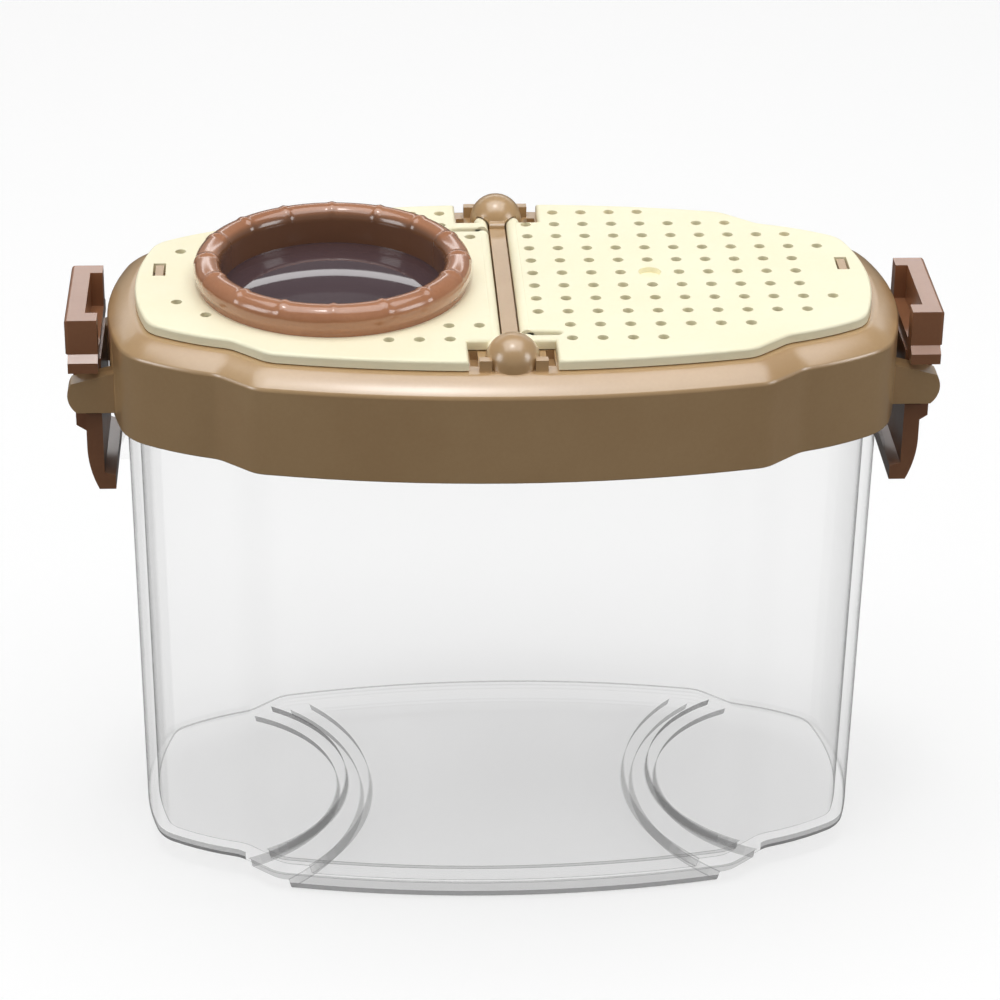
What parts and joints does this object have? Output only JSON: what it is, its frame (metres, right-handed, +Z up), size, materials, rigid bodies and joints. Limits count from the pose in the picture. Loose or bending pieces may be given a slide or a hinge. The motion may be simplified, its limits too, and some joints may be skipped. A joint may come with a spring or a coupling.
{
  "type": "bug viewer box",
  "caption": "Clear lobed tank for watching insects, with a lift-off lid on rocker latches, a flap with a ring-mounted magnifier and a flap with air holes.",
  "frame": {"origin": "middle of the foot, on the surface that the box stands on", "axes": "+X along the length towards the vented flap, +Y to the back, +Z up"},
  "size_m": [0.1502, 0.0758, 0.1112],
  "materials": {
    "clear_wall": "clear polished styrene",
    "tan_frame": "satin moulded plastic",
    "cream_panel": "satin moulded plastic",
    "copper_ring": "glossy moulded plastic",
    "clear_lens": "clear polished acrylic",
    "brown_latch": "satin moulded plastic"
  },
  "bodies": {
    "tank": {"tank": "clear_wall", "left_catch": "clear_wall", "right_catch": "clear_wall"},
    "lid": {"lid_frame": "tan_frame"},
    "lens_flap": {"lens_flap": "cream_panel", "lens_ring": "copper_ring", "lens": "clear_lens", "lens_retainer": "copper_ring"},
    "vent_flap": {"vent_flap": "cream_panel"},
    "left_latch": {"left_latch": "brown_latch"},
    "right_latch": {"right_latch": "brown_latch"}
  },
  "joints": [
    {"name": "lid_lift", "type": "slide", "parent": "tank", "child": "lid", "axis": [0, 0, 1], "range_m": [0, 0.07]},
    {"name": "lens_flap_hinge", "type": "hinge", "parent": "lid", "child": "lens_flap", "pos_m": [-0.00285, 0, 0.1046], "axis": [0, 1, 0], "range_deg": [0, 95]},
    {"name": "vent_flap_hinge", "type": "hinge", "parent": "lid", "child": "vent_flap", "pos_m": [0.00285, 0, 0.1046], "axis": [0, 1, 0], "range_deg": [-95, 0]},
    {"name": "left_latch_pivot", "type": "hinge", "parent": "lid", "child": "left_latch", "pos_m": [-0.0718, 0, 0.0906], "axis": [0, 1, 0], "range_deg": [-4, 6]},
    {"name": "right_latch_pivot", "type": "hinge", "parent": "lid", "child": "right_latch", "pos_m": [0.0718, 0, 0.0906], "axis": [0, 1, 0], "range_deg": [-6, 4]}
  ]
}
